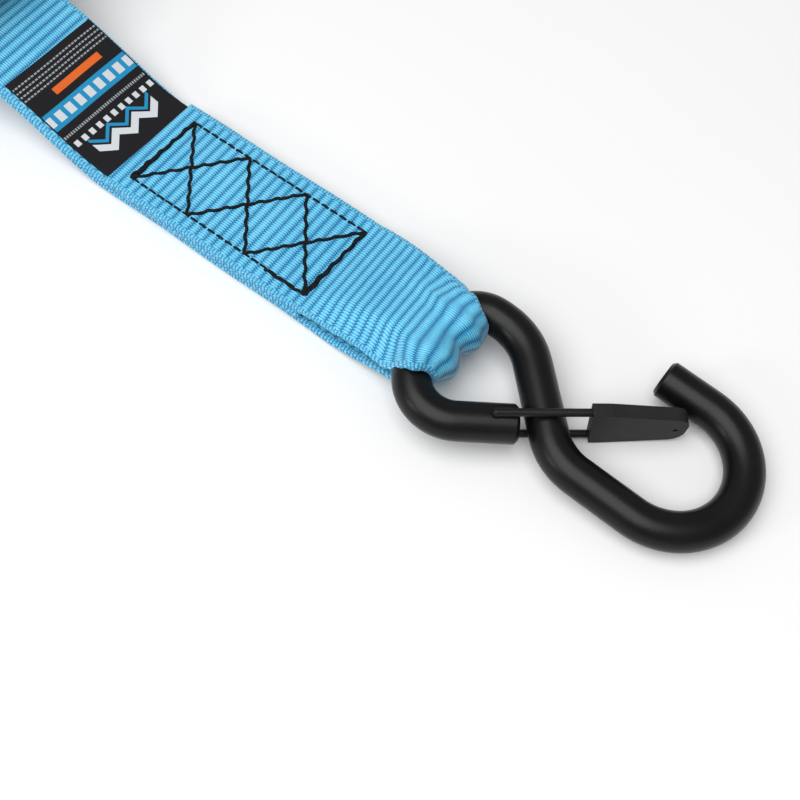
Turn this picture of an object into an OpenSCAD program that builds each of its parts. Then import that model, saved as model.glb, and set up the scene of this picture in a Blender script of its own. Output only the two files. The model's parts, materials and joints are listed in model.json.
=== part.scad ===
// Ratchet tie down, 38 mm webbing: ratchet, short strap with hook A, long strap with
// hook B and its tail rolled up. The axle runs along Y. The part lies on z = 0 and its
// origin is below the axle, midway between the two hooks.

/* [Webbing] */
// Width of the webbing
web_w = 38; // [36:0.5:39]
// Thickness of one layer of webbing
web_t = 2.4; // [2:0.1:2.6]
// Cut length of the long strap
long_cut = 2440; // [2000:20:2500]
// Distance of each hook's eye from the axle
eye_x = 284; // [280:1:320]
// Length of the sewn overlap at each eye
sewn_end = 112.5; // [110:0.5:114]

/* [Hooks] */
// Diameter of the coated hook rod
rod_d = 10.7; // [9.5:0.1:11]
// Height of the eye bar above the ground
eye_z = 12.7; // [12.7:0.1:13.5]
// Downward tilt of the hook, which brings its bowl to the ground
hook_tilt = 4.8; // [4.2:0.1:4.8]
// Diameter of the keeper wire
wire_d = 2.2; // [1.8:0.1:2.2]
// Length of the keeper's sleeve
sleeve_l = 26.5; // [20:0.5:27]

/* [Ratchet] */
// Height of the axle above the ground
axle_z = 26; // [26:0.5:28]
// Distance from the axle to the anchor bolt
bolt_x = 78; // [76:0.5:79]
// Height of the anchor bolt
bolt_z = 20; // [20:0.5:21]
// Free width between the two frame plates
frame_gap = 41; // [40:0.5:41]
// Thickness of frame and handle plates
plate_t = 2.5; // [2:0.1:2.5]
// Number of teeth on each ratchet wheel
teeth = 12; // [12]
// Tip radius of the ratchet wheels
wheel_r = 19.5; // [18.5:0.1:19.5]
// Reach of the handle from the axle
handle_l = 112; // [106:1:113]

/* [Hidden] */
$fn = 64;
eps = 0.01;
fit = 0.05;
clear = 0.3;

// Hook rod, in the plane of the hook: origin at the middle of the eye bar, +X to the bowl.
rod_r = rod_d / 2;
hole_r = wire_d / 2 + fit;
chamfer = 0.9;
seam = 0.02;
eye_end_dir = 36.5;
eye_corner = [11.9, -11.5];
eye_corner_r = 11.9;
eye_top = [9.2, 1.6];
eye_top_r = 9.2;
eye_flat = 2;
neck_r = 19.5;
neck = eye_top + [eye_flat, eye_top_r - neck_r];
shank_dir = 43;
shank_l = 21.4;
eye_end_l = 16;
bowl_in_r = 17;
bowl_flat = 16.8;
bowl_r = 19.2;
tip_l = 14.5;

// Keeper: it turns about a hole in the end of the eye.
pivot_l = 9.5;
keeper_dir = 39.5;
wire_off = rod_r + clear + wire_d / 2;
sleeve_start = 24.5;
sleeve_lean = 2.2;
sleeve_flat = 5;
sleeve_corner = 4.5;
sleeve_t = 3.8;
sleeve_h0 = 16.7;
sleeve_h1 = 12.4;
sleeve_end = sleeve_start + sleeve_l;
leg_l = sleeve_start + 3.5;

// Ratchet, measured outward from the middle plane.
frame_in = frame_gap / 2;
frame_out = frame_in + plate_t;
wheel_in = frame_out + 0.5;
wheel_t = 3;
handle_in = wheel_in + wheel_t + 0.5;
handle_out = handle_in + plate_t;
washer_in = handle_out + 0.2;
washer_t = 1.2;
cotter_r = 1.2;
cotter_y = washer_in + washer_t + cotter_r + 0.2;
axle_end = cotter_y + cotter_r + 1;
mandrel_r = 8;
bore_r = mandrel_r + fit;
slot_half = 2;
wrap_in = mandrel_r + clear;
wrap_out = wrap_in + 2 * web_t + 0.4;
bolt_r = 4;
sleeve_r = 6;
nose_r = 10;
disc_r = 16.4;
pawl_t = 2.5;
pawl_gap = 0.4;
pawl_r = wheel_r + pawl_gap;
lock_dir = -15;
drive_dir = 15;
lock_out = 28;
lock_back = 34;
tie_r = 50;
tie_h = 16;
drive_out = 30;
drive_back = 45;
bar_at = 62;
bar_r = 3;
spring_wire = 0.6;
spring_coil = 3;
grip_l = 30;
grip_low = 6;
grip_high = 19.5;
grip_half = handle_out + 2;
deck = axle_z + grip_low;

// Straps
wrap_dir = 20;
roll_core = 10;
roll_pitch = web_t + 0.2;
roll_x = -157;
// Length of the long strap that is not in the roll: sewn end, main run, wraps and tail.
long_used = 690;
roll_r = sqrt((long_cut - long_used) * roll_pitch / PI + pow(roll_core, 2));
roll_z = web_t + clear + roll_r;
loop_out = rod_r + clear + web_t;
gather_hi = 3.2;
gather_lo = -13.3;
gather_x = 25;
stitch_near = 39.3;
stitch_far = 106.4;
stitch_half = 13.6;
thread = 1.1;
rise_start = 110;
rise_l = 65;
rise_h = 17;
label_l = 43;
label_w = 36;
label_t = 0.5;

// ---------- helpers ----------

function arc(c, r, a0, a1, n) =
    [for (i = [0:n]) let (a = a0 + (a1 - a0) * i / n) [c[0] + r * cos(a), c[1] + r * sin(a)]];

// A flat outline in X and Z, extruded along Y from y0 to y1.
module slab(y0, y1) {
    translate([0, y1, 0])
        rotate([90, 0, 0])
            linear_extrude(height = y1 - y0)
                children();
}

// A round bar along Y.
module bar_y(r, y0, y1) {
    translate([0, y0, 0])
        rotate([-90, 0, 0])
            cylinder(h = y1 - y0, r = r);
}

module at_axle() {
    translate([0, 0, axle_z]) children();
}

module at_bolt() {
    translate([bolt_x, 0, bolt_z]) children();
}

// Local +X points away from the axle, raised by dir degrees.
module radial(dir) {
    at_axle() rotate([0, -dir, 0]) children();
}

// ---------- hooks ----------

// Round bar in the plane of the hook from p in direction dir.
module straight_rod(p, dir, l) {
    translate([p[0], p[1], 0])
        rotate([0, 90, dir])
            cylinder(h = l, r = rod_r);
}

// The same with its far end chamfered.
module capped_rod(p, dir, l) {
    translate([p[0], p[1], 0])
        rotate([0, 90, dir])
            rotate_extrude()
                polygon([[0, 0], [rod_r, 0], [rod_r, l - chamfer], [rod_r - chamfer, l], [0, l]]);
}

// A bend laps a little into what it joins and is thinner by a hair, so that they fuse cleanly.
module bent_rod(c, bend_r, a0, a1) {
    lap = 1.5;
    translate([c[0], c[1], 0])
        rotate_extrude(angle = a1 - a0 + 2 * lap, start = a0 - lap)
            translate([bend_r, 0])
                circle(r = rod_r - seam);
}

eye_end_p = eye_corner + eye_corner_r * [sin(eye_end_dir), -cos(eye_end_dir)];
shank_p = neck + neck_r * [sin(shank_dir), cos(shank_dir)];
shank_end_p = shank_p + shank_l * [cos(shank_dir), -sin(shank_dir)];
bowl_in_c = shank_end_p + bowl_in_r * [sin(shank_dir), cos(shank_dir)];
bowl_p = bowl_in_c + [0, -bowl_in_r];
bowl_c = bowl_p + [bowl_flat, bowl_r];
tip_p = bowl_c + [0, bowl_r];
pivot_p = eye_end_p + pivot_l * [cos(eye_end_dir), sin(eye_end_dir)];

module hook_rod() {
    difference() {
        union() {
            capped_rod(eye_end_p, eye_end_dir, eye_end_l);
            bent_rod(eye_corner, eye_corner_r, 180, 270 + eye_end_dir);
            straight_rod([0, eye_corner[1]], 90, eye_top[1] - eye_corner[1]);
            bent_rod(eye_top, eye_top_r, 90, 180);
            straight_rod(eye_top + [0, eye_top_r], 0, eye_flat);
            bent_rod(neck, neck_r, 90 - shank_dir, 90);
            straight_rod(shank_p, -shank_dir, shank_l);
            bent_rod(bowl_in_c, bowl_in_r, 270 - shank_dir, 270);
            straight_rod(bowl_p, 0, bowl_flat);
            bent_rod(bowl_c, bowl_r, -90, 90);
            capped_rod(tip_p, 180, tip_l);
        }
        translate([pivot_p[0], pivot_p[1], -rod_r - 1])
            cylinder(h = rod_d + 2, r = hole_r);
    }
}

// Local +X runs along the keeper, +Z along its hinge.
module at_keeper() {
    translate([pivot_p[0], pivot_p[1], 0]) rotate([0, 0, keeper_dir]) children();
}

// One bent wire: a leg on each side of the shank and a cross piece inside the sleeve.
module keeper_legs(r) {
    for (s = [-1, 1])
        translate([0, 0, s * wire_off]) {
            rotate([0, 90, 0]) cylinder(h = leg_l, r = r);
            sphere(r = r);
        }
    translate([leg_l, 0, -wire_off]) cylinder(h = 2 * wire_off, r = r);
}

module keeper_wire() {
    pin_l = wire_off - 1.2;
    at_keeper() {
        keeper_legs(wire_d / 2);
        translate([0, 0, wire_off - pin_l]) cylinder(h = pin_l, r = wire_d / 2);
        translate([0, 0, -wire_off]) cylinder(h = pin_l, r = wire_d / 2);
    }
}

module keeper_sleeve() {
    h0 = sleeve_h0 / 2;
    h1 = sleeve_h1 / 2;
    corner_x = sleeve_end - sleeve_corner;
    outline = concat(
        [[sleeve_start + sleeve_flat, h0], [sleeve_start, h0]],
        [[sleeve_start + sleeve_lean, -h0], [sleeve_start + sleeve_flat, -h0]],
        arc([corner_x, sleeve_corner - h1], sleeve_corner, -90, 0, 10),
        arc([corner_x, h1 - sleeve_corner], sleeve_corner, 0, 90, 10)
    );
    at_keeper()
        difference() {
            slab(-sleeve_t / 2, sleeve_t / 2) polygon(outline);
            keeper_legs(hole_r);
            translate([sleeve_end - 3, -sleeve_t, 0])
                rotate([-90, 0, 0])
                    cylinder(h = 2 * sleeve_t, r = 0.7);
        }
}

module hook_a() {
    translate([eye_x, 0, eye_z]) rotate([0, hook_tilt, 0]) children();
}

module hook_b() {
    rotate([0, 0, 180]) hook_a() children();
}

// ---------- webbing ----------

// Width of a strap in plan: full width, then gathered to fit inside the hook's eye.
module strap_plan(x0, top) {
    half = web_w / 2;
    translate([0, 0, -1])
        linear_extrude(height = top)
            polygon([
                [x0, -half], [eye_x - gather_x, -half], [eye_x - 7, gather_lo],
                [eye_x + loop_out + 1, gather_lo], [eye_x + loop_out + 1, gather_hi],
                [eye_x - 7, gather_hi], [eye_x - gather_x, half], [x0, half]
            ]);
}

// Side outline of the webbing that goes round the eye bar, on a stack of the given height.
module eye_loop_outline(x0, stack, fall) {
    low = 10;
    c = [eye_x, eye_z];
    inner = loop_out - web_t;
    top_out = c + loop_out * [-sin(fall), cos(fall)];
    low_out = c + loop_out * [sin(low), -cos(low)];
    top_in = c + inner * [-sin(fall), cos(fall)];
    low_in = c + inner * [sin(low), -cos(low)];
    stack_x = top_out[0] - (top_out[1] - stack) / tan(fall);
    meet_x = top_in[0] - (top_in[1] - stack + web_t) / tan(fall);
    difference() {
        polygon(concat(
            [[x0, 0], [low_out[0] - low_out[1] / tan(low), 0]],
            arc(c, loop_out, low - 90, 90 + fall, 20),
            [[stack_x, stack], [x0, stack]]
        ));
        polygon(concat(
            [[meet_x, stack - web_t], [low_in[0] - (low_in[1] - web_t) / tan(low), web_t + eps]],
            arc(c, inner, low - 90, 90 + fall, 20)
        ));
    }
}

function rise_z(x) = let (u = (eye_x - rise_start - x) / rise_l) u <= 0 ? 0 : rise_h * u * u * (3 - 2 * u);

// Double layer from the sewn stack up to the split in front of the anchor bolt.
module rise_outline(low, high) {
    n = 12;
    x1 = eye_x - rise_start;
    polygon(concat(
        [for (i = [0:n]) let (x = x1 - rise_l * i / n) [x, low + rise_z(x)]],
        [for (i = [n:-1:0]) let (x = x1 - rise_l * i / n) [x, high + rise_z(x)]]
    ));
}

// The two layers part and go round the anchor sleeve.
module bolt_loop_outline() {
    split = [eye_x - rise_start - rise_l, rise_h];
    outer = sleeve_r + clear + web_t;
    inner = sleeve_r + clear;
    c = [bolt_x, bolt_z];
    spread = 14;
    nose = split[0] - 2 * web_t;
    difference() {
        polygon(concat(
            arc(c, outer, 90 - spread, 270 + spread, 24),
            [split, split + [0, 2 * web_t]]
        ));
        polygon(concat(
            arc(c, inner, 90 - spread, 270 + spread, 24),
            [[nose, split[1] + web_t]]
        ));
    }
}

module fixed_webbing() {
    half = web_w / 2;
    stack = 3 * web_t;
    color("deepskyblue")
        intersection() {
            union() {
                slab(-half, half) eye_loop_outline(eye_x - sewn_end, stack, 20);
                slab(-half, half) rise_outline(0, 2 * web_t);
                slab(-half, half) bolt_loop_outline();
            }
            strap_plan(bolt_x - 20, 40);
        }
}

// Flat threads of the box and its three crosses, on top of a sewn stack.
module box_stitches(z) {
    bays = 3;
    bay = (stitch_far - stitch_near) / bays;
    diagonal = norm([bay, 2 * stitch_half]);
    lean = atan2(2 * stitch_half, bay);
    height = 0.5;
    translate([eye_x - stitch_far, 0, z + fit]) {
        for (s = [-1, 1])
            translate([0, s * stitch_half - thread / 2, 0])
                cube([bays * bay, thread, height]);
        for (i = [0, bays])
            translate([i * bay - thread / 2, -stitch_half, 0])
                cube([thread, 2 * stitch_half, height]);
        for (i = [0:bays - 1])
            for (s = [-1, 1])
                translate([(i + 0.5) * bay, 0, 0])
                    rotate([0, 0, s * lean])
                        translate([-diagonal / 2, -thread / 2, 0])
                            cube([diagonal, thread, height]);
    }
}

module fixed_stitches() {
    color("black") box_stitches(3 * web_t);
}

module label() {
    x1 = eye_x - sewn_end - 0.2;
    low = 2 * web_t + fit;
    color("black")
        intersection() {
            slab(-label_w / 2, label_w / 2) rise_outline(low, low + label_t);
            translate([x1 - label_l, -label_w, 0]) cube([label_l, 2 * label_w, 40]);
        }
}

// The long strap: round the mandrel, down to the ground and on to hook B. The tail lies on
// it as far as the roll. Drawn toward +X and turned half round.
module long_webbing() {
    half = web_w / 2;
    c = [0, axle_z];
    tail_end = -roll_x - 15;
    ramp_r = wrap_out - eps;
    ramp_in = ramp_r - 2 * web_t;
    foot = c + ramp_r * [-sin(wrap_dir), -cos(wrap_dir)];
    head = c + ramp_in * [-sin(wrap_dir), -cos(wrap_dir)];
    foot_x = foot[0] + foot[1] / tan(wrap_dir);
    head_x = head[0] + (head[1] - 2 * web_t) / tan(wrap_dir);
    color("deepskyblue")
        rotate([0, 0, 180])
            difference() {
                union() {
                    slab(-half, half) polygon([foot, [foot_x, 0], [tail_end, 0], [tail_end, 2 * web_t],
                        [head_x, 2 * web_t], head]);
                    at_axle() bar_y(wrap_out, -half, half);
                    slab(-half, half) polygon([[tail_end - 1, 0], [eye_x - sewn_end + 1, 0],
                        [eye_x - sewn_end + 1, web_t], [tail_end - 1, web_t]]);
                    intersection() {
                        slab(-half, half) eye_loop_outline(eye_x - sewn_end, 2 * web_t, 23.5);
                        strap_plan(eye_x - sewn_end - 1, 40);
                    }
                }
                at_axle() bar_y(wrap_in, -half - 1, half + 1);
            }
}

module long_stitches() {
    color("black") rotate([0, 0, 180]) box_stitches(2 * web_t);
}

module webbing_roll() {
    half = web_w / 2;
    color("deepskyblue")
        translate([roll_x, 0, roll_z])
            difference() {
                bar_y(roll_r, -half, half);
                bar_y(roll_core, -half - 1, half + 1);
            }
}

// Storage band: through the core of the roll and over its top.
module roll_band() {
    half = 5;
    t = 1.5;
    y_in = web_w / 2 + clear;
    z_low = roll_z + 6.3;
    z_high = roll_z + roll_r + clear;
    color("dimgray")
        difference() {
            translate([roll_x - half, -y_in - t, z_low])
                cube([2 * half, 2 * (y_in + t), z_high + t - z_low]);
            translate([roll_x - half - 1, -y_in, z_low + t])
                cube([2 * half + 2, 2 * y_in, z_high - z_low - t]);
        }
}

// ---------- frame ----------

module frame_plate(side) {
    y0 = side > 0 ? frame_in : -frame_out;
    color("black")
        difference() {
            union() {
                slab(y0, y0 + plate_t)
                    polygon(concat(
                        [[-11.6, 14.4], [-9, 0], [60, 0]],
                        arc([bolt_x, bolt_z], nose_r, -60, 90, 20),
                        [[66, 28], [14, 28]]
                    ));
                at_axle() bar_y(disc_r, y0, y0 + plate_t);
            }
            at_axle() bar_y(bore_r, y0 - 1, y0 + plate_t + 1);
            at_bolt() bar_y(bolt_r + fit, y0 - 1, y0 + plate_t + 1);
            radial(lock_dir)
                translate([pawl_r - 3 - clear, y0 - 1, -pawl_t / 2 - clear])
                    cube([lock_out - pawl_r + 6 + 2 * clear, plate_t + 2, pawl_t + 2 * clear]);
            radial(lock_dir)
                translate([tie_r - fit, y0 - 1, -4 - fit])
                    cube([plate_t + 2 * fit, plate_t + 2, 8 + 2 * fit]);
        }
}

// Plate between the two frame plates, with a tenon through each. The lock spring bears on it.
module frame_cross_tie() {
    color("black")
        radial(lock_dir) {
            translate([tie_r, -frame_in + fit, -tie_h / 2])
                cube([plate_t, frame_gap - 2 * fit, tie_h]);
            translate([tie_r, -frame_out - 0.6, -4])
                cube([plate_t, 2 * frame_out + 1.2, 8]);
        }
}

module anchor_bolt() {
    color("silver")
        at_bolt() {
            bar_y(bolt_r, -frame_out - 1, frame_out + 7.5);
            translate([0, -frame_out - fit, 0])
                rotate([90, 0, 0])
                    cylinder(h = 3.6, r = 7.5, $fn = 6);
        }
}

module anchor_nut() {
    color("silver")
        at_bolt()
            difference() {
                translate([0, frame_out + fit, 0])
                    rotate([-90, 0, 0])
                        cylinder(h = 3.6, r = 7.5, $fn = 6);
                bar_y(bolt_r + fit, frame_out - 1, frame_out + 10);
            }
}

module anchor_sleeve() {
    half = frame_in - 0.3;
    color("silver")
        at_bolt()
            difference() {
                bar_y(sleeve_r, -half, half);
                bar_y(bolt_r + fit, -half - 1, half + 1);
            }
}

// ---------- spool ----------

module mandrel_half(side) {
    color("silver")
        at_axle()
            difference() {
                bar_y(mandrel_r, -axle_end, axle_end);
                translate([-mandrel_r - 1, -axle_end - 1, side > 0 ? -mandrel_r - 1 : -slot_half])
                    cube([2 * mandrel_r + 2, 2 * axle_end + 2, mandrel_r + 1 + slot_half]);
                for (s = [-1, 1])
                    translate([0, s * cotter_y, -mandrel_r - 1])
                        cylinder(h = 2 * mandrel_r + 2, r = cotter_r + fit);
            }
}

module ratchet_wheel(side) {
    y0 = side > 0 ? wheel_in : -wheel_in - wheel_t;
    pitch = 360 / teeth;
    root_r = wheel_r - 4;
    outline = [
        for (i = [0:teeth - 1])
            for (p = [[root_r, 5], [wheel_r, 6], [wheel_r, 10], [root_r, 25]])
                let (a = lock_dir + pitch * i + p[1]) [p[0] * cos(a), p[0] * sin(a)]
    ];
    color("silver")
        at_axle()
            difference() {
                slab(y0, y0 + wheel_t) polygon(outline);
                for (s = [-1, 1])
                    intersection() {
                        bar_y(bore_r, y0 - 1, y0 + wheel_t + 1);
                        translate([-10, y0 - 1, s > 0 ? slot_half - fit : -10 - slot_half + fit])
                            cube([20, wheel_t + 2, 10]);
                    }
            }
}

module axle_washers() {
    color("silver")
        for (s = [-1, 1])
            at_axle()
                difference() {
                    bar_y(12.5, s * (washer_in + washer_t / 2) - washer_t / 2,
                        s * (washer_in + washer_t / 2) + washer_t / 2);
                    bar_y(bore_r, -axle_end, axle_end);
                }
}

module axle_cotters() {
    ring_r = 2.4;
    color("silver")
        for (s = [-1, 1])
            translate([0, s * cotter_y, axle_z]) {
                translate([0, 0, -mandrel_r - 3]) cylinder(h = 2 * mandrel_r + 4, r = cotter_r);
                translate([0, 0, mandrel_r + 1 + ring_r])
                    rotate([0, 90, 90])
                        rotate_extrude()
                            translate([ring_r, 0])
                                circle(r = cotter_r - 0.1);
            }
}

// ---------- pawls ----------

module lock_pawl() {
    wide = wheel_in + wheel_t + 0.1;
    inside = frame_in - clear;
    color("dimgray")
        radial(lock_dir) {
            translate([pawl_r, -wide, -pawl_t / 2])
                cube([lock_out - pawl_r, 2 * wide, pawl_t]);
            translate([lock_out - eps, -inside, -pawl_t / 2])
                cube([lock_back - lock_out, 2 * inside, pawl_t]);
        }
}

module drive_pawl() {
    wide = handle_in - clear;
    ears = handle_out + 1;
    tab = 11;
    color("dimgray")
        radial(drive_dir) {
            translate([pawl_r, -wide, -pawl_t / 2])
                cube([36 - pawl_r, 2 * wide, pawl_t]);
            translate([22, -ears, -pawl_t / 2])
                cube([drive_out - 22, 2 * ears, pawl_t]);
            translate([36 - eps, -tab, -pawl_t / 2])
                cube([drive_back - 36, 2 * tab, pawl_t]);
        }
}

// Coil of round wire along +X from x0 to x1.
module coil(x0, x1, turns) {
    sides = 8;
    step = 14;
    n = turns * step;
    points = [
        for (i = [0:n])
            let (a = 360 * i / step, x = x0 + (x1 - x0) * i / n)
                for (j = [0:sides - 1])
                    let (b = 360 * j / sides, r = spring_coil + spring_wire * cos(b))
                        [x + spring_wire * sin(b), r * cos(a), r * sin(a)]
    ];
    ends = [[for (j = [0:sides - 1]) j], [for (j = [sides - 1:-1:0]) n * sides + j]];
    sides_f = [
        for (i = [0:n - 1])
            for (j = [0:sides - 1])
                let (k = (j + 1) % sides)
                    [i * sides + j, (i + 1) * sides + j, (i + 1) * sides + k, i * sides + k]
    ];
    polyhedron(points = points, faces = concat(ends, sides_f), convexity = 10);
}

module lock_spring() {
    color("silver") radial(lock_dir) coil(lock_back + 0.9, tie_r - 0.9, 5);
}

module drive_spring() {
    color("silver") radial(drive_dir) coil(drive_back + 0.9, bar_at - bar_r - 0.9, 4);
}

// ---------- handle ----------

module handle_plate(side) {
    y0 = side > 0 ? handle_in : -handle_out;
    color("black")
        difference() {
            union() {
                slab(y0, y0 + plate_t)
                    polygon([
                        [2, axle_z - 13.8], [14, 15], [40, 29.5], [70, 31], [handle_l - 5, deck + 2],
                        [handle_l - 2, deck + 4], [handle_l - 2, 42], [handle_l - 5, 43.5], [80, 43.8],
                        [64, 48.5], [34, 48.5], [10, 40], [2, axle_z + 13.8]
                    ]);
                at_axle() bar_y(14, y0, y0 + plate_t);
            }
            at_axle() bar_y(bore_r, y0 - 1, y0 + plate_t + 1);
            radial(drive_dir) {
                translate([22 - 3 - clear, y0 - 1, -pawl_t / 2 - clear])
                    cube([drive_out - 22 + 7 + 2 * clear, plate_t + 2, pawl_t + 2 * clear]);
                translate([bar_at, 0, 0]) bar_y(bar_r - 0.5 + fit, y0 - 1, y0 + plate_t + 1);
            }
            grip_pins(fit);
        }
}

// Bar between the handle plates, with turned-down ends riveted through them.
module handle_cross_bar() {
    color("dimgray")
        radial(drive_dir)
            translate([bar_at, 0, 0]) {
                bar_y(bar_r, -handle_in + fit, handle_in - fit);
                bar_y(bar_r - 0.5, -handle_out - 0.8, handle_out + 0.8);
            }
}

module grip_pins(over) {
    for (x = [handle_l - 22, handle_l - 9])
        translate([x, 0, deck + 6.5])
            bar_y(2 + over, -grip_half + 0.5, grip_half - 0.5);
}

module grip_rivets() {
    color("silver") grip_pins(0);
}

module handle_grip() {
    x0 = handle_l - grip_l;
    c = 3;
    top = axle_z + grip_high;
    outline = [
        [x0 + c, deck], [handle_l - c, deck], [handle_l, deck + c], [handle_l, top - c],
        [handle_l - c, top], [x0 + c, top], [x0, top - c], [x0, deck + c]
    ];
    color("darkslategray")
        difference() {
            slab(-grip_half, grip_half) polygon(outline);
            for (s = [-1, 1])
                translate([x0 - 1, s * (handle_in + plate_t / 2) - plate_t / 2 - 0.1, deck - 1])
                    cube([grip_l - 1 + fit, plate_t + 0.2, top - deck - 0.5]);
            grip_pins(fit);
            for (y = [-18:6:18])
                translate([x0 - 1, y - 0.6, top - 0.8])
                    cube([grip_l + 2, 1.2, 1]);
        }
}

// ---------- assembly ----------

frame_plate(1);  // frame_plate_left
frame_plate(-1);  // frame_plate_right
frame_cross_tie();
anchor_bolt();
anchor_nut();
anchor_sleeve();
long_webbing();
webbing_roll();
roll_band();
long_stitches();
lock_pawl();
lock_spring();
mandrel_half(1);  // mandrel_upper
mandrel_half(-1);  // mandrel_lower
ratchet_wheel(1);  // ratchet_wheel_left
ratchet_wheel(-1);  // ratchet_wheel_right
axle_washers();
axle_cotters();
handle_plate(1);  // handle_plate_left
handle_plate(-1);  // handle_plate_right
handle_cross_bar();
handle_grip();
grip_rivets();
drive_pawl();
drive_spring();
fixed_webbing();
fixed_stitches();
label();
color("black") hook_a() hook_rod();  // hook_a_rod
color("dimgray") hook_a() keeper_wire();  // gate_a_wire
color("black") hook_a() keeper_sleeve();  // gate_a_sleeve
color("black") hook_b() hook_rod();  // hook_b_rod
color("dimgray") hook_b() keeper_wire();  // gate_b_wire
color("black") hook_b() keeper_sleeve();  // gate_b_sleeve
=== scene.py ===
"""Ratchet tie down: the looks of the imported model, in metres and in its own frame.

The metal parts stay as packed and get materials. The webbing, its stitching, the label, the
storage band and the coil springs are made here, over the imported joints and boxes.
"""
import json
import math

import bpy
import numpy as np
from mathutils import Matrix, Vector


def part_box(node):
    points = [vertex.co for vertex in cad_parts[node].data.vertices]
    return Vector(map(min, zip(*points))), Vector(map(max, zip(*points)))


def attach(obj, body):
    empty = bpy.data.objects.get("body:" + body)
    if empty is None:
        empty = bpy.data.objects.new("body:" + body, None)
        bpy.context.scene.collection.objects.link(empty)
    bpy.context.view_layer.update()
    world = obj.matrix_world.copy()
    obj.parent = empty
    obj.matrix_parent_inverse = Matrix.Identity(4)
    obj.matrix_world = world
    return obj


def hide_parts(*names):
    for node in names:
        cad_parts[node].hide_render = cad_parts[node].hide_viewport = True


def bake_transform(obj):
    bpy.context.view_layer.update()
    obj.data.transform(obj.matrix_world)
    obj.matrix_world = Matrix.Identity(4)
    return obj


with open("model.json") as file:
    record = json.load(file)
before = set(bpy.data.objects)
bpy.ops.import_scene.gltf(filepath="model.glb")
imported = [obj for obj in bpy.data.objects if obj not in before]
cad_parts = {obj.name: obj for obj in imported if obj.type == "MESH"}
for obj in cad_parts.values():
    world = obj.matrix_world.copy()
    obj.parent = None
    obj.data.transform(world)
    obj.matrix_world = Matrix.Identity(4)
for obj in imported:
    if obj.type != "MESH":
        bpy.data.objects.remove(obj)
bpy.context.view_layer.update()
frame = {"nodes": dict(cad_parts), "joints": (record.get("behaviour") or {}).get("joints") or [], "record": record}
joints = {joint["name"]: joint for joint in frame["joints"]}

MM = 0.001

# ---------- places, from the frame ----------

EYE = Vector(joints["hook_a_swing"]["pos_m"])
BOLT = Vector(joints["strap_swing"]["pos_m"])
AXLE = Vector(joints["handle_swing"]["pos_m"])
ROLL_LOW, ROLL_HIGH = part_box("webbing_roll")
STACK_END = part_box("label")[1].x + 0.2 * MM

# ---------- sizes ----------

WEB_W = 38 * MM
WEB_T = 2.4 * MM        # thickness that a layer takes up in a stack
WEB_SHOWN = 2.15 * MM   # mean thickness of the ribbed strap itself
LONG_CUT = 2440 * MM
EDGE = 0.8 * MM         # width of a strip's rounded edge
RIB = 3.1 * MM
RIB_DEEP = 0.3 * MM
RIB_SKEW = 0.05

EYE_WEB_R = 6.85 * MM   # middle of the strap, round the eye's bar
EYE_MIDDLE = 4.5 * MM   # between the two layers where the gathering starts
CORNER_R, CORNER_Y = 11.9 * MM, -11.5 * MM      # the eye's bends, at both ends of its bar
EYE_TOP_R, EYE_TOP_Y = 9.2 * MM, 1.6 * MM
BOLT_WEB_R = 7.5 * MM
GROUND_GAP = 0.02 * MM

STITCH_NEAR = 39.3 * MM  # both measured back from the eye
STITCH_FAR = 106.4 * MM
STITCH_HALF = 13.6 * MM
BAYS = 3
RISE_START = EYE.x - 110 * MM
RISE_L = 65 * MM
RISE_H = 17 * MM
ROLL_CORE = 9.2 * MM    # radius at the inner end of the roll

VIEW_TURN = math.radians(38)
AWAY = Vector((-math.sin(VIEW_TURN), math.cos(VIEW_TURN), 0))
RIGHT = Vector((math.cos(VIEW_TURN), math.sin(VIEW_TURN), 0))
UP = Vector((0, 0, 1))


# ---------- routes: lines and arcs in X and Z ----------

class Route:
    """A flat route of straight and round stretches, sampled finely."""

    STEP = 0.1 * MM

    def __init__(self, x, z):
        self.points = [np.array([x, z], float)]

    def line(self, x, z):
        start = self.points[-1]
        end = np.array([x, z], float)
        count = max(2, int(np.linalg.norm(end - start) / self.STEP))
        for i in range(1, count + 1):
            self.points.append(start + (end - start) * i / count)
        return self

    def arc(self, cx, cz, r0, a0, a1, r1=None):
        """Round (cx, cz) from angle a0 to a1 in degrees, the radius going from r0 to r1."""
        r1 = r0 if r1 is None else r1
        count = max(8, int(abs(math.radians(a1 - a0)) * max(r0, r1) / self.STEP))
        for i in range(count + 1):
            t = i / count
            a = math.radians(a0 + (a1 - a0) * t)
            r = r0 + (r1 - r0) * t
            self.points.append(np.array([cx + r * math.cos(a), cz + r * math.sin(a)]))
        return self

    def rise(self, x_from, x_to, height):
        """Along the curve on which the double layer climbs to the anchor bolt."""
        count = int(abs(x_to - x_from) / self.STEP)
        for i in range(1, count + 1):
            x = x_from + (x_to - x_from) * i / count
            self.points.append(np.array([x, height + rise_z(x)]))
        return self

    def even(self, step, soften=3.5 * MM):
        """Points a step apart, with the corners softened over a short window."""
        points = spaced(np.array(self.points), self.STEP)
        half = max(1, int(soften / self.STEP / 2))
        padded = np.vstack([np.repeat(points[:1], half, 0), points, np.repeat(points[-1:], half, 0)])
        sums = np.cumsum(np.vstack([np.zeros((1, 2)), padded]), 0)
        mean = (sums[2 * half + 1:] - sums[:-2 * half - 1]) / (2 * half + 1)
        mean[0], mean[-1] = points[0], points[-1]
        return spaced(mean, step)


def spaced(points, step):
    """The same polyline with points evenly spaced, about a step apart."""
    along = np.concatenate([[0], np.cumsum(np.linalg.norm(np.diff(points, axis=0), axis=1))])
    keep = np.concatenate([[True], np.diff(along) > 1e-9])
    points, along = points[keep], along[keep]
    count = max(2, int(round(along[-1] / step)))
    at = np.linspace(0, along[-1], count + 1)
    return np.stack([np.interp(at, along, points[:, k]) for k in range(points.shape[1])], 1)


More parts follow.
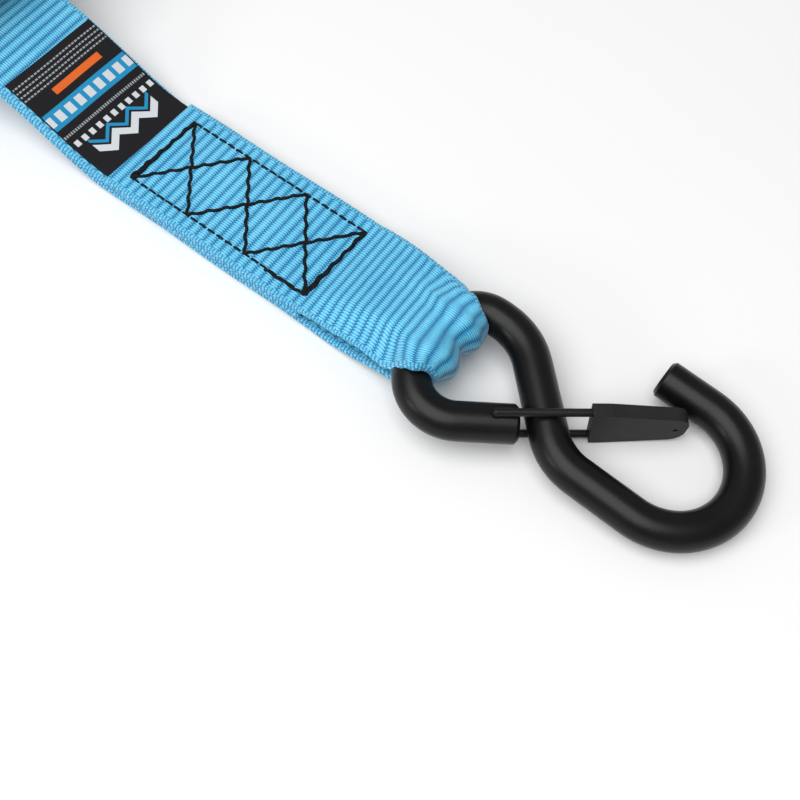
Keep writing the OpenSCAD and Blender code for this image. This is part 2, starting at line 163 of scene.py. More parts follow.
def smooth01(t):
    t = np.clip(t, 0, 1)
    return t * t * (3 - 2 * t)


def rise_z(x):
    return RISE_H * float(smooth01((RISE_START - x) / RISE_L))


def on_circle(cx, cz, r, degrees):
    a = math.radians(degrees)
    return cx + r * math.cos(a), cz + r * math.sin(a)


def layer(k):
    """Height of the middle of layer k of a stack."""
    return (k + 0.5) * WEB_T


# ---------- meshes ----------

def new_object(name, vertices, faces, smooth=True):
    mesh = bpy.data.meshes.new(name)
    mesh.from_pydata([tuple(v) for v in vertices], [], [tuple(f) for f in faces])
    mesh.update()
    mesh.polygons.foreach_set("use_smooth", [smooth] * len(mesh.polygons))
    piece = bpy.data.objects.new(name, mesh)
    bpy.context.scene.collection.objects.link(piece)
    return piece


def ring_faces(rings, around, closed=False):
    """Quads between neighbouring rings, with a cap of quads at each open end."""
    faces = []
    last = rings if closed else rings - 1
    for i in range(last):
        a, b = i * around, (i + 1) % rings * around
        for j in range(around):
            k = (j + 1) % around
            faces.append((a + j, b + j, b + k, a + k))
    if not closed:
        end = (rings - 1) * around
        for j in range(around // 2 - 1):
            far = around - 1 - j
            faces.append((j, j + 1, far - 1, far))
            faces.append((end + far, end + far - 1, end + j + 1, end + j))
    return faces


def write_strip_uv(piece, along, across, around):
    """Keeps each corner's place along and across the strip, in metres, for the weave."""
    layer_uv = piece.data.uv_layers.new(name="strip")
    index = np.zeros(len(piece.data.loops), np.int64)
    piece.data.loops.foreach_get("vertex_index", index)
    uv = np.stack([along[index // around], across[index % around]], 1)
    layer_uv.data.foreach_set("uv", uv.astype(np.float32).ravel())


def columns(half, edge, count):
    """Places across a strip, closer together at its edges."""
    inner = np.linspace(-(half - edge), half - edge, count)
    steps = half - edge * np.array([0.0, 0.12, 0.4, 0.7])
    return np.concatenate([-steps, inner, steps[::-1]])


def strip(name, route, width, thickness, place, count, relief, closed=False):
    """A closed ribbon along a route. place(x, z, w, along) gives points in space, where x and z lie
    on the route's plane and w runs across; relief(s, w) is how far the face stands out."""
    across = columns(width / 2, EDGE, count)
    steps = np.linalg.norm(np.diff(route, axis=0), axis=1)
    along = np.concatenate([[0], np.cumsum(steps)])
    if closed:
        tangent = np.roll(route, -1, 0) - np.roll(route, 1, 0)
    else:
        tangent = np.gradient(route, axis=0)
    tangent /= np.linalg.norm(tangent, axis=1)[:, None]
    normal = np.stack([-tangent[:, 1], tangent[:, 0]], 1)
    edge = np.clip((np.abs(across) - (width / 2 - EDGE)) / EDGE, 0, 1)
    fullness = np.sqrt(np.clip(1 - edge ** 2, 0.06, 1))
    rows = []
    for side in (1, -1):
        w = across if side > 0 else across[::-1]
        full = fullness if side > 0 else fullness[::-1]
        lift = (thickness / 2 + relief(along[:, None], w[None, :])) * full[None, :]
        x = route[:, 0:1] + side * normal[:, 0:1] * lift
        z = route[:, 1:2] + side * normal[:, 1:2] * lift
        rows.append(place(x, z, np.broadcast_to(w[None, :], x.shape), along))
    around = 2 * len(across)
    points = np.concatenate(rows, 1).reshape(-1, 3)
    piece = new_object(name, points, ring_faces(len(route), around, closed))
    write_strip_uv(piece, along, np.concatenate([across, across[::-1]]), around)
    return piece


def tube(points, radius, sides=10):
    """Vertices and faces of a round tube along 3-D points, with rounded ends."""
    points = np.array(points, float)
    tangent = np.gradient(points, axis=0)
    tangent /= np.linalg.norm(tangent, axis=1)[:, None]
    up = np.array([0, 0, 1.0])
    if abs(tangent[0] @ up) > 0.9:
        up = np.array([0, 1.0, 0])
    first = tangent[0]
    points = np.vstack([points[0] - first * radius * 0.6, points, points[-1] + tangent[-1] * radius * 0.6])
    tangent = np.vstack([tangent[:1], tangent, tangent[-1:]])
    radii = np.full(len(points), radius)
    radii[0] = radii[-1] = radius * 0.35
    turns = 2 * math.pi * np.arange(sides) / sides
    rings = []
    for p, t, r in zip(points, tangent, radii):
        side = np.cross(up, t)
        side /= np.linalg.norm(side)
        up = np.cross(t, side)
        rings.append(p + r * (np.cos(turns)[:, None] * side + np.sin(turns)[:, None] * up))
    return np.concatenate(rings), ring_faces(len(rings), sides)


def joined(name, parts):
    """One object from several sets of vertices and faces."""
    vertices, faces, offset = [], [], 0
    for points, quads in parts:
        vertices.append(points)
        faces.extend([[offset + i for i in quad] for quad in quads])
        offset += len(points)
    return new_object(name, np.concatenate(vertices), faces)


# ---------- webbing ----------

def ribs(s, w):
    """How far the strap's slightly skewed ribs stand out, with a faint unevenness."""
    crest = np.sqrt(np.abs(np.sin(math.pi * (s + RIB_SKEW * w) / RIB)))
    wave = 0.06 * MM * np.sin(s * 151 + w * 90) + 0.04 * MM * np.sin(s * 97 - w * 210)
    return RIB_DEEP * (crest - 0.8) + wave * 0.6


def edge_loops(along, w):
    """The selvedge's small loops, as a change in width."""
    at_edge = np.clip((np.abs(w) - (WEB_W / 2 - EDGE)) / EDGE, 0, 1)
    loops = 0.1 * MM * np.sin(2 * math.pi * along[:, None] / (1.0 * MM))
    drift = 0.18 * MM * np.sin(along[:, None] * 130) + 0.12 * MM * np.sin(along[:, None] * 47 + 1)
    return np.sign(w) * at_edge * (loops + drift - 0.15 * MM)


def bar_shift(y):
    """How far the eye's rod curves away from the strap at y, beyond the ends of its bar."""
    low = np.clip(CORNER_Y - y, 0, 0.95 * CORNER_R)
    high = np.clip(y - EYE_TOP_Y, 0, 0.95 * EYE_TOP_R)
    low_shift = CORNER_R - np.sqrt(CORNER_R ** 2 - low ** 2)
    high_shift = EYE_TOP_R - np.sqrt(EYE_TOP_R ** 2 - high ** 2)
    return low_shift + high_shift


def gathered(x, z, w):
    """The strap's place near the eye: its upper edge is drawn in and it folds round the bar."""
    rel = x - EYE.x
    middle = EYE_MIDDLE + (EYE.z - EYE_MIDDLE) * smooth01((rel + 25 * MM) / (25 * MM))
    above = smooth01((z - middle) / (4 * MM) + 0.5)
    front = smooth01((rel + 1 * MM) / (8 * MM))
    far = np.clip((rel + 40 * MM) / (38 * MM), 0, 1)
    pull = above * far * (0.35 + 0.65 * far) + (1 - above) * smooth01((rel + 26 * MM) / (27 * MM))
    y_high = WEB_W / 2 - pull * 10.6 * MM - front * 2.0 * MM
    y_low = -WEB_W / 2 - above * 1.2 * MM * smooth01((rel + 16 * MM) / (10 * MM)) + front * 4.0 * MM
    q = w / WEB_W + 0.5
    y = y_low + (y_high - y_low) * q
    lobes = np.abs(np.sin(2 * math.pi * np.clip(q - 0.02, 0, 1)) ** 2 + 0.004) ** 0.42 - 0.1
    ripple = np.sin(2 * math.pi * (4.3 * q + 0.15)) * 0.3 * MM + np.sin(11 * math.pi * q + 1) * 0.14 * MM
    deep = pull ** 1.5 * (0.7 + 2.7 * front) * MM
    out = lobes * deep + ripple * pull * (0.25 + 0.75 * above) - 0.3 * MM * front
    away = np.stack([rel, z - EYE.z])
    away /= np.maximum(np.linalg.norm(away, axis=0), 1e-6)
    near = smooth01((rel + 14 * MM) / (12 * MM))
    upright = above - (1 - above) * 0.25
    hanging = smooth01((-WEB_W / 4 - y) / (WEB_W / 4)) * smooth01((rel + 40 * MM) / (12 * MM))
    hanging = hanging * (1 - smooth01((rel + 9 * MM) / (8 * MM))) * above
    x_out = x + near * (away[0] * out + bar_shift(y))
    z_out = z + near * away[1] * out + (1 - near) * upright * out - hanging * 0.55 * (z - 2 * WEB_T)
    return x_out, y, z_out


def free_wave(x, w):
    """A light wave of the double layer between its sewn end and the anchor bolt."""
    free = smooth01((RISE_START - x) / (30 * MM)) * smooth01((x - BOLT.x - 14 * MM) / (16 * MM))
    return free * 0.5 * MM * np.sin(x * 95 + 1.3) * (1 + w / WEB_W)


def short_place(x, z, w, along):
    """Short strap in space."""
    gx, y, gz = gathered(x, z, w + edge_loops(along, w))
    return np.stack([gx, y, np.maximum(gz + free_wave(gx, w), GROUND_GAP)], -1)


def long_place(x, z, w, along):
    """Long strap in space: the same as the short one, turned half round."""
    gx, y, gz = gathered(x, z, w + edge_loops(along, w))
    return np.stack([-gx, -y, np.maximum(gz, GROUND_GAP)], -1)


def eye_loop(route, top_z, fall):
    """From the top of a stack, down the slope, round the eye's bar and back to the ground."""
    low = 10
    x_top, z_top = on_circle(EYE.x, EYE.z, EYE_WEB_R, 90 + fall)
    route.line(x_top - (z_top - top_z) / math.tan(math.radians(fall)), top_z)
    route.line(x_top, z_top)
    route.arc(EYE.x, EYE.z, EYE_WEB_R, 90 + fall, low - 90)
    x_low, z_low = on_circle(EYE.x, EYE.z, EYE_WEB_R, low - 90)
    route.line(x_low - (z_low - layer(0)) / math.tan(math.radians(low)), layer(0))
    return route


def short_route():
    """Top layer, eye, bottom layer, anchor bolt and back to the middle of the stack."""
    spread = 14
    split_x = RISE_START - RISE_L
    route = eye_loop(Route(STACK_END, layer(2)), layer(2), 20)
    route.line(RISE_START, layer(0))
    route.rise(RISE_START, split_x, layer(0))
    route.line(*on_circle(BOLT.x, BOLT.z, BOLT_WEB_R, spread - 90))
    route.arc(BOLT.x, BOLT.z, BOLT_WEB_R, spread - 90, -270 - spread)
    route.line(split_x, layer(1) + RISE_H)
    route.rise(split_x, RISE_START, layer(1))
    route.line(EYE.x - STITCH_NEAR + 1.5 * MM, layer(1))
    return route


def long_route():
    """Drawn towards +X: return layer, eye B, ground, spool, tail and the roll, in one length."""
    dip = 20
    outer, inner, slot_x = 12.0 * MM, 9.6 * MM, 9.6 * MM
    roll_x = -(ROLL_LOW.x + ROLL_HIGH.x) / 2
    roll_z = (ROLL_LOW.z + ROLL_HIGH.z) / 2
    roll_r = (ROLL_HIGH.z - ROLL_LOW.z) / 2 - WEB_T / 2
    slope = math.tan(math.radians(dip))
    route = eye_loop(Route(STACK_END, layer(1)), layer(1), 23.5)
    x_out, z_out = on_circle(AXLE.x, AXLE.z, outer, 270 - dip)
    route.line(x_out + (z_out - layer(0)) / slope, layer(0))
    route.line(x_out, z_out)
    route.arc(AXLE.x, AXLE.z, outer, 270 - dip, 12, r1=inner)
    route.line(slot_x, AXLE.z)
    route.line(-slot_x, AXLE.z)
    route.arc(AXLE.x, AXLE.z, inner, 180, 270 - dip)
    x_in, z_in = on_circle(AXLE.x, AXLE.z, inner, 270 - dip)
    route.line(x_in + (z_in - layer(1)) / slope, layer(1))
    route.line(roll_x - 14 * MM, layer(1))
    route.line(roll_x, roll_z - roll_r)
    used = np.linalg.norm(np.diff(np.array(route.points), axis=0), axis=1).sum()
    turn = 2 * (LONG_CUT - used) / (roll_r + ROLL_CORE)
    route.arc(roll_x, roll_z, roll_r, -90, -90 + math.degrees(turn), r1=ROLL_CORE)
    return route


def short_webbing(material):
    points = short_route().even(0.34 * MM)
    piece = strip("short_webbing", points, WEB_W, WEB_SHOWN, short_place, 17, ribs)
    finish_piece(piece, "short_strap", "webbing", material, "fixed_webbing")


def long_webbing(material):
    points = long_route().even(0.5 * MM)
    piece = strip("long_webbing_strip", points, WEB_W, WEB_SHOWN, long_place, 7, ribs)
    finish_piece(piece, "frame", "webbing", material, "long_webbing", "webbing_roll")


def finish_piece(piece, body, slot, material, *nodes):
    piece.data.materials.append(material)
    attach(piece, body)
    if nodes:
        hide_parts(*nodes)


# ---------- stitching ----------

def seam(start, end, radius, sway, bump, pitch, top):
    """One sewn line from start to end: the thread sways, rises between needle holes and dips."""
    start, end = np.array(start, float), np.array(end, float)
    length = np.linalg.norm(end - start)
    count = int(length / (0.3 * MM))
    t = np.linspace(0, 1, count)
    ahead = (end - start) / length
    aside = np.array([-ahead[1], ahead[0]])
    phase = math.pi * t * round(length / pitch)
    flat = start + t[:, None] * (end - start) + (sway * np.sin(phase))[:, None] * aside
    height = top + bump * np.abs(np.sin(phase)) - 0.15 * MM
    return tube(np.column_stack([flat, height]), radius, 8)


def dashes(start, end, radius, pitch, top):
    """A row of short sunk stitches."""
    start, end = np.array(start, float), np.array(end, float)
    count = int(np.linalg.norm(end - start) / pitch)
    parts = []
    for i in range(count):
        a = start + (end - start) * (i + 0.12) / count
        b = start + (end - start) * (i + 0.82) / count
        parts.append(seam(a, b, radius, 0, 0.3 * MM, pitch, top))
    return parts


def box_stitching(name, top, turned):
    """Double end lines, dashed side rows and a zigzag cross in each bay."""
    x = [EYE.x - STITCH_FAR + (STITCH_FAR - STITCH_NEAR) * i / BAYS for i in range(BAYS + 1)]
    parts = []
    for i in range(BAYS):
        for s in (-1, 1):
            parts.append(seam((x[i], -s * STITCH_HALF), (x[i + 1], s * STITCH_HALF),
                              0.5 * MM, 0.24 * MM, 0.32 * MM, 2.6 * MM, top))
    for at in (x[0], x[-1]):
        for shift in (-0.45, 0.45):
            parts.append(seam((at + shift * MM, -STITCH_HALF), (at - shift * 0.5 * MM, STITCH_HALF),
                              0.52 * MM, 0.22 * MM, 0.35 * MM, 2.8 * MM, top))
    for s in (-1, 1):
        parts += dashes((x[0], s * STITCH_HALF), (x[-1], s * STITCH_HALF), 0.36 * MM, 3.2 * MM, top)
    parts.append(seam((x[-2] + 8 * MM, -STITCH_HALF - 0.5 * MM), (x[-1], -STITCH_HALF - 0.3 * MM),
                      0.45 * MM, 0.2 * MM, 0.32 * MM, 2.8 * MM, top))
    if turned:
        parts = [(points * np.array([-1, -1, 1]), faces) for points, faces in parts]
    return joined(name, parts)


def stitching(material):
    short = box_stitching("short_stitching", 3 * WEB_T, False)
    finish_piece(short, "short_strap", "thread", material, "fixed_stitches")
    long = box_stitching("long_stitching", 2 * WEB_T, True)
    finish_piece(long, "frame", "thread", material, "long_stitches")


# ---------- label and storage band ----------

def label(material):
    """A woven patch on the double layer, tucked against the top layer's cut end."""
    low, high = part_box("label")
    thick, width, margin = 0.45 * MM, 35 * MM, 2.6 * MM
    height = layer(1) + WEB_T / 2 + thick / 2
    route = Route(high.x, height + rise_z(high.x))
    route.rise(high.x, low.x + margin, height)

    def place(x, z, w, along):
        buckle = 0.1 * MM * np.sin(x * 260 + 1) + 0.08 * MM * np.sin(w * 210 + x * 90)
        return np.stack([x, w + 0.6 * MM, z + free_wave(x, w) + buckle], -1)

    def flat(s, w):
        return 0 * s * w

    points = route.even(0.5 * MM)
    piece = strip("label_patch", points, width, thick, place, 33, flat)
    finish_piece(piece, "short_strap", "woven_label", material, "label")


def storage_band(material):
    """A closed band through the core of the roll and over its top."""
    low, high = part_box("roll_band")
    thick = 1.3 * MM
    corner = 3 * MM
    left, right = low.y + thick / 2, high.y - thick / 2
    bottom, top = low.z + thick / 2, high.z - thick / 2
    route = Route(0, bottom)
    route.line(right - corner, bottom).arc(right - corner, bottom + corner, corner, -90, 0)
    route.line(right, top - corner).arc(right - corner, top - corner, corner, 0, 90)
    route.line(left + corner, top).arc(left + corner, top - corner, corner, 90, 180)
    route.line(left, bottom + corner).arc(left + corner, bottom + corner, corner, 180, 270)
    route.line(0, bottom)
    middle = (low.x + high.x) / 2

    def place(y, z, w, along):
        return np.stack([middle + w, y, z], -1)

    def pile(s, w):
        return 0.07 * MM * np.sin(s * 2300 + 3 * np.sin(w * 900)) * np.sin(w * 2600 + 2 * np.sin(s * 700))

    points = route.even(0.7 * MM, 0.5 * MM)[:-1]
    piece = strip("storage_band", points, high.x - low.x, thick, place, 15, pile, closed=True)
    finish_piece(piece, "frame", "band", material, "roll_band")


# ---------- coil springs ----------

def coil_spring(name, node, pull, turns, material):
    """A round-wire coil between the pawl that moves and the part that it bears on."""
    axis = Vector(joints[pull]["axis"])
    low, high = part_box(node)
    radius, wire = 3 * MM, 0.6 * MM
    start = (low.x + radius * abs(axis.z)) / axis.x + wire
    end = (high.x - radius * abs(axis.z)) / axis.x - wire
    side = Vector((0, 1, 0))
    up = axis.cross(side)
    count = turns * 28
    points = []
    for i in range(count + 1):
        turn = turns * i / count
        share = 0.03 + 0.94 * float(smooth01(np.array((turn - 0.5) / (turns - 1))))
        round_it = side * math.cos(2 * math.pi * turn) + up * math.sin(2 * math.pi * turn)
        points.append(list(AXLE + axis * (start + (end - start) * share) + radius * round_it))
    piece = new_object(name, *tube(points, wire, 10))
    piece.data.materials.append(material)
    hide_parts(node)
    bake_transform(piece)


# ---------- materials ----------

class Shader:
    """A material and short ways to add nodes to it."""

    def __init__(self, name, **settings):
        self.material = bpy.data.materials.new(name)
        self.material.use_nodes = True
        self.tree = self.material.node_tree
        self.surface = self.tree.nodes["Principled BSDF"]
        for key, value in settings.items():
            self.surface.inputs[key.replace("_", " ")].default_value = value

    def node(self, kind, inputs=(), **settings):
        made = self.tree.nodes.new(kind)
        for key, value in settings.items():
            setattr(made, key, value)
        for key, value in dict(inputs).items():
            self.put(made.inputs[key], value)
        return made

    def put(self, target, value):
        if isinstance(value, bpy.types.NodeSocket):
            self.tree.links.new(value, target)
        else:
            target.default_value = value

    def math(self, operation, a, b=0.0, c=0.0):
        made = self.node("ShaderNodeMath", {0: a, 1: b, 2: c}, operation=operation)
        return made.outputs[0]

    def noise(self, scale, detail=2.0, vector=None, roughness=0.5):
        made = self.node("ShaderNodeTexNoise", {"Scale": scale, "Detail": detail, "Roughness": roughness})
        if vector is None:
            vector = self.node("ShaderNodeTexCoord").outputs["Object"]
        self.put(made.inputs["Vector"], vector)
        return made.outputs["Fac"]

    def ramp(self, value, *stops):
        """Colour from a value; stops are (place, colour) with linear colours."""
        made = self.node("ShaderNodeValToRGB", {"Fac": value})
        elements = made.color_ramp.elements
        while len(elements) < len(stops):
            elements.new(0.5)
        for element, (place, colour) in zip(elements, stops):
            element.position = place
            element.color = (*colour, 1)
        return made.outputs["Color"]

    def mix(self, factor, a, b):
        made = self.node("ShaderNodeMix", data_type="RGBA")
        self.put(made.inputs[0], factor)
        self.put(made.inputs[6], a if isinstance(a, bpy.types.NodeSocket) else (*a, 1))
        self.put(made.inputs[7], b if isinstance(b, bpy.types.NodeSocket) else (*b, 1))
        return made.outputs[2]

    def to_range(self, value, low, high):
        made = self.node("ShaderNodeMapRange", {"Value": value, "To Min": low, "To Max": high})
        return made.outputs["Result"]

    def colour(self, value):
        self.put(self.surface.inputs["Base Color"], value)

    def roughness(self, value):
        self.put(self.surface.inputs["Roughness"], value)

    def bump(self, height, distance, strength=1.0):
        made = self.node("ShaderNodeBump", {"Height": height, "Distance": distance, "Strength": strength})
        self.put(self.surface.inputs["Normal"], made.outputs["Normal"])

    def strip_place(self):
        """Places along and across a strip, in millimetres."""
        split = self.node("ShaderNodeSeparateXYZ")
        self.put(split.inputs[0], self.node("ShaderNodeUVMap", uv_map="strip").outputs["UV"])
        return [self.math("MULTIPLY", split.outputs[k], 1000.0) for k in (0, 1)]


def weave_height(shader, along, across, pitch, yarn):
    """Short floats in rows: every second row is shifted by half a yarn."""
    row = shader.math("DIVIDE", along, pitch)
    shift = shader.math("MULTIPLY", shader.math("FLOORED_MODULO", shader.math("FLOOR", row), 2.0), 0.5)
    crest = shader.math("ABSOLUTE", shader.math("SINE", shader.math("MULTIPLY", row, math.pi)))
    column = shader.math("ADD", shader.math("DIVIDE", across, yarn), shift)
    yarns = shader.math("ABSOLUTE", shader.math("SINE", shader.math("MULTIPLY", column, math.pi)))
    crest = shader.math("POWER", crest, 0.5)
    gap = shader.math("SUBTRACT", 1.0, crest)
    return shader.math("SUBTRACT", shader.math("MULTIPLY_ADD", yarns, 0.3, 0.7),
                       shader.math("MULTIPLY", gap, shader.math("MULTIPLY_ADD", yarns, -1.1, 1.5)))


def webbing_material():
    shader = Shader("webbing_weave", Roughness=0.55, Sheen_Weight=0.25, Sheen_Roughness=0.4)
    along, across = shader.strip_place()
    skewed = shader.math("MULTIPLY_ADD", across, RIB_SKEW, along)
    body = weave_height(shader, skewed, across, RIB / MM, 0.8)
    selvedge = weave_height(shader, along, across, 1.1, 0.6)
    at_edge = shader.math("GREATER_THAN", shader.math("ABSOLUTE", across), 17.4)
    height = shader.math("ADD", shader.math("MULTIPLY", selvedge, at_edge),
                         shader.math("MULTIPLY", body, shader.math("SUBTRACT", 1.0, at_edge)))
    fibres = shader.noise(2200.0, 3.0)
    cloudy = shader.noise(60.0, 2.0)
    # The colour follows the weave's height: painted shade in the gaps between yarns and a painted highlight on the
    # crests; the fibre and cloudy noise add random tone.
    tone = shader.math("ADD", height, shader.math("MULTIPLY_ADD", fibres, 0.35, -0.17))
    tone = shader.math("ADD", tone, shader.math("MULTIPLY_ADD", cloudy, 0.2, -0.1))
    shader.colour(shader.ramp(tone, (0.05, (0.001, 0.06, 0.2)), (0.35, (0.004, 0.16, 0.36)),
                              (0.68, (0.015, 0.29, 0.53)), (1.0, (0.17, 0.57, 0.78))))
    shader.bump(shader.math("ADD", height, shader.math("MULTIPLY", fibres, 0.25)), 0.2 * MM, 0.7)
    return shader.material


def thread_material():
    shader = Shader("thread_twist", Roughness=0.75, Specular_IOR_Level=0.2)
    twist = shader.noise(1500.0, 2.0)
    shader.colour(shader.ramp(twist, (0.3, (0.001, 0.001, 0.0015)), (0.7, (0.006, 0.006, 0.009))))
    shader.bump(twist, 0.15 * MM, 0.8)
    return shader.material


def band_mask(shader, value, low, high):
    """1 between low and high."""
    return shader.math("MULTIPLY", shader.math("GREATER_THAN", value, low),
                       shader.math("LESS_THAN", value, high))


def label_material():
    """Black woven ground with a blue panel, generic blocks, chevrons and rows of plain ticks."""
    shader = Shader("woven_label", Roughness=0.75, Specular_IOR_Level=0.15)
    along, across = shader.strip_place()
    weave = weave_height(shader, along, across, 0.45, 0.3)
    # The ground follows the weave's height, darker in the gaps between yarns: painted shade.
    ground = shader.ramp(weave, (0.0, (0.002, 0.002, 0.003)), (1.0, (0.013, 0.013, 0.016)))
    inside = band_mask(shader, across, -17.1, 17.1)

    def paint(base, mask, colour):
        return shader.mix(shader.math("MULTIPLY", mask, inside), base, colour)

    def blocks(coordinate, pitch, share, phase=0.0):
        place = shader.math("FRACT", shader.math("ADD", shader.math("DIVIDE", coordinate, pitch), phase))
        return shader.math("LESS_THAN", place, share)

    white, pale = (0.6, 0.63, 0.66), (0.3, 0.32, 0.34)
    panel, orange = (0.015, 0.25, 0.48), (0.7, 0.13, 0.02)
    sharp = shader.math("PINGPONG", across, 4.2)
    chevron = shader.math("ADD", along, shader.math("MULTIPLY", sharp, -0.9))
    mark = band_mask(shader, across, -12.6, 12.6)
    result = ground
    bold = shader.math("MULTIPLY", band_mask(shader, chevron, 5.5, 8.6), mark)
    result = paint(result, bold, white)
    second = shader.math("MULTIPLY", band_mask(shader, chevron, 9.6, 11.0), mark)
    result = paint(result, second, panel)
    ticks = shader.math("MULTIPLY", band_mask(shader, along, 14.6, 16.6), blocks(across, 3.1, 0.55, 0.2))
    result = paint(result, ticks, white)
    small = shader.math("MULTIPLY", band_mask(shader, along, 18.6, 19.5), blocks(across, 0.9, 0.6))
    result = paint(result, small, pale)
    blue = band_mask(shader, along, 22.0, 28.2)
    result = paint(result, blue, panel)
    figures = shader.math("MULTIPLY", band_mask(shader, along, 23.4, 26.8), blocks(across, 4.1, 0.62, 0.35))
    result = paint(result, figures, white)
    bar = shader.math("MULTIPLY", band_mask(shader, along, 30.6, 33.0),
                      band_mask(shader, across, -8.2, 11.0))
    result = paint(result, bar, orange)
    for start in (34.6, 36.2, 37.8, 39.4):
        row = shader.math("MULTIPLY", band_mask(shader, along, start, start + 0.55),
                          blocks(shader.math("ADD", across, start * 1.7), 1.3, 0.7))
        result = paint(result, row, pale)
    # Painted shade: the weave's gaps darken all of the label's colours towards black.
    shader.colour(shader.mix(shader.math("MULTIPLY_ADD", weave, -0.25, 0.25), result, (0.0, 0.0, 0.0)))
    shader.bump(weave, 0.06 * MM, 0.7)
    return shader.material


def band_material():
    shader = Shader("storage_band_pile", Roughness=0.85, Sheen_Weight=0.5)
    pile = shader.noise(1800.0, 4.0, roughness=0.7)
    shader.colour(shader.ramp(pile, (0.3, (0.008, 0.008, 0.01)), (0.75, (0.06, 0.06, 0.068))))
    shader.bump(pile, 0.3 * MM, 1.0)
    return shader.material


def coating_material(name, dark, light, rough_low, rough_high, grain, depth):
    """Black coating: a fine grain, a cloudy gloss and faint rubbed patches."""
    shader = Shader(name, Specular_IOR_Level=0.24)
    fine = shader.noise(grain, 3.0)
    cloudy = shader.noise(90.0, 3.0)
    shader.colour(shader.ramp(cloudy, (0.3, dark), (0.75, light)))
    shader.roughness(shader.to_range(cloudy, rough_low, rough_high))
    shader.bump(fine, depth, 0.5)
    return shader.material


def steel_material(name, dark, light, rough_low, rough_high):
    """Plated steel: a blotchy tone and fine rolling marks."""
    shader = Shader(name, Metallic=1.0)
    place = shader.node("ShaderNodeTexCoord").outputs["Object"]
    stretch = shader.node("ShaderNodeMapping", {"Vector": place, "Scale": (30.0, 700.0, 700.0)})
    marks = shader.noise(3.0, 4.0, stretch.outputs["Vector"], 0.65)
    blotch = shader.noise(180.0, 4.0)
    shader.colour(shader.ramp(shader.math("MULTIPLY_ADD", marks, 0.4, shader.math("MULTIPLY", blotch, 0.6)),
                              (0.3, dark), (0.7, light)))
    shader.roughness(shader.to_range(blotch, rough_low, rough_high))
    shader.bump(marks, 0.04 * MM, 0.35)
    return shader.material


def grip_material():
    shader = Shader("soft_grip", Roughness=0.7)
    fine = shader.noise(2600.0, 3.0)
    dust = shader.noise(70.0, 4.0)
    shader.colour(shader.ramp(dust, (0.35, (0.014, 0.014, 0.015)), (0.8, (0.035, 0.035, 0.037))))
    shader.bump(fine, 0.12 * MM, 0.7)
    return shader.material


def floor_material():
    shader = Shader("pale_floor", Roughness=0.85)
    shader.colour(shader.ramp(shader.noise(4.0, 2.0), (0.3, (0.77, 0.77, 0.773)), (0.7, (0.79, 0.79, 0.79))))
    return shader.material


def all_materials():
    return {
        "webbing": webbing_material(),
        "thread": thread_material(),
        "woven_label": label_material(),
        "band": band_material(),
        "coated_rod": coating_material("coated_rod", (0.002,) * 3, (0.004, 0.004, 0.005), 0.3, 0.38,
                                       1400.0, 0.05 * MM),
        "keeper_wire": coating_material("keeper_wire", (0.004,) * 3, (0.008,) * 3, 0.34, 0.45,
                                        2500.0, 0.03 * MM),
        "keeper_sleeve": coating_material("keeper_sleeve", (0.009,) * 3, (0.015, 0.015, 0.016), 0.52, 0.62,
                                          2600.0, 0.06 * MM),
        "frame_steel": coating_material("frame_powder_coat", (0.007,) * 3, (0.013,) * 3, 0.4, 0.55,
                                        1000.0, 0.12 * MM),
        "zinc_steel": steel_material("zinc_steel", (0.42, 0.43, 0.45), (0.66, 0.67, 0.68), 0.26, 0.42),
        "spring_steel": steel_material("spring_steel", (0.3, 0.3, 0.31), (0.5, 0.5, 0.52), 0.22, 0.34),
        "grip": grip_material(),
    }


def paint_nodes(materials):
    """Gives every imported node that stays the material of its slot, and smooth round faces."""
    for part in frame["record"]["subparts"]:
        node = frame["nodes"][part["node"]]
        node.data.materials.clear()
        node.data.materials.append(materials[part["material_slot"]])
        node.data.polygons.foreach_set("use_smooth", [True] * len(node.data.polygons))
        node.data.set_sharp_from_angle(angle=math.radians(32))


# ---------- floor, light and camera ----------

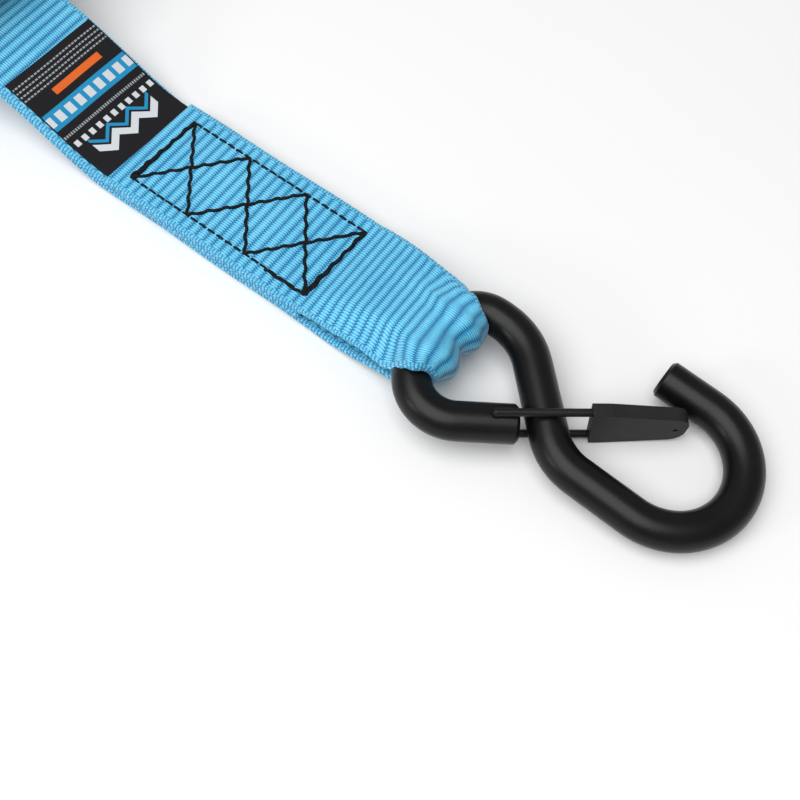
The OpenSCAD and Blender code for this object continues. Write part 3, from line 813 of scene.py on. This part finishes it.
def floor():
    half = 3.0
    corners = [(-half, -half, 0), (half, -half, 0), (half, half, 0), (-half, half, 0)]
    piece = new_object("floor", corners, [(0, 1, 2, 3)], smooth=False)
    piece.data.materials.append(floor_material())
    piece.location.z = -0.0002


def soft_light(name, place, aim, size, power):
    data = bpy.data.lights.new(name, "AREA")
    data.shape = "DISK"
    data.size = size
    data.energy = power
    light = bpy.data.objects.new(name, data)
    light.location = place
    light.rotation_mode = "QUATERNION"
    light.rotation_quaternion = (Vector(aim) - Vector(place)).to_track_quat("-Z", "Y")
    bpy.context.scene.collection.objects.link(light)


def lights():
    world = bpy.data.worlds.new("studio")
    world.use_nodes = True
    world.node_tree.nodes["Background"].inputs["Color"].default_value = (1.0, 1.0, 1.0, 1)
    world.node_tree.nodes["Background"].inputs["Strength"].default_value = 0.38
    bpy.context.scene.world = world
    aim = Vector((0.15, 0, 0))
    soft_light("overhead", aim - AWAY * 0.35 - RIGHT * 0.25 + UP * 1.15, aim, 1.4, 18.5)
    soft_light("side", aim - RIGHT * 0.9 - AWAY * 0.5 + UP * 0.45, aim, 0.25, 1.6)


def camera():
    """Looks down at the eye of hook A, turned a little to the right of the straps."""
    distance, tilt = 0.3, math.radians(62)
    look = Vector((EYE.x, -20.5 * MM, 0))
    place = look - AWAY * distance * math.cos(tilt) + UP * distance * math.sin(tilt)
    data = bpy.data.cameras.new("camera")
    data.lens = 49.5
    data.sensor_width = 36
    data.clip_start = 0.01
    made = bpy.data.objects.new("camera", data)
    made.location = place
    made.rotation_mode = "QUATERNION"
    made.rotation_quaternion = (look - place).to_track_quat("-Z", "Y")
    bpy.context.scene.collection.objects.link(made)
    bpy.context.scene.camera = made


# ---------- the scene ----------

materials = all_materials()
camera()
lights()
floor()
paint_nodes(materials)
short_webbing(materials["webbing"])
long_webbing(materials["webbing"])
stitching(materials["thread"])
label(materials["woven_label"])
storage_band(materials["band"])
coil_spring("lock_coil", "lock_spring", "lock_pull", 5,
            materials["spring_steel"])
coil_spring("drive_coil", "drive_spring", "drive_pull", 4,
            materials["spring_steel"])

bpy.context.scene.view_settings.view_transform = "Standard"
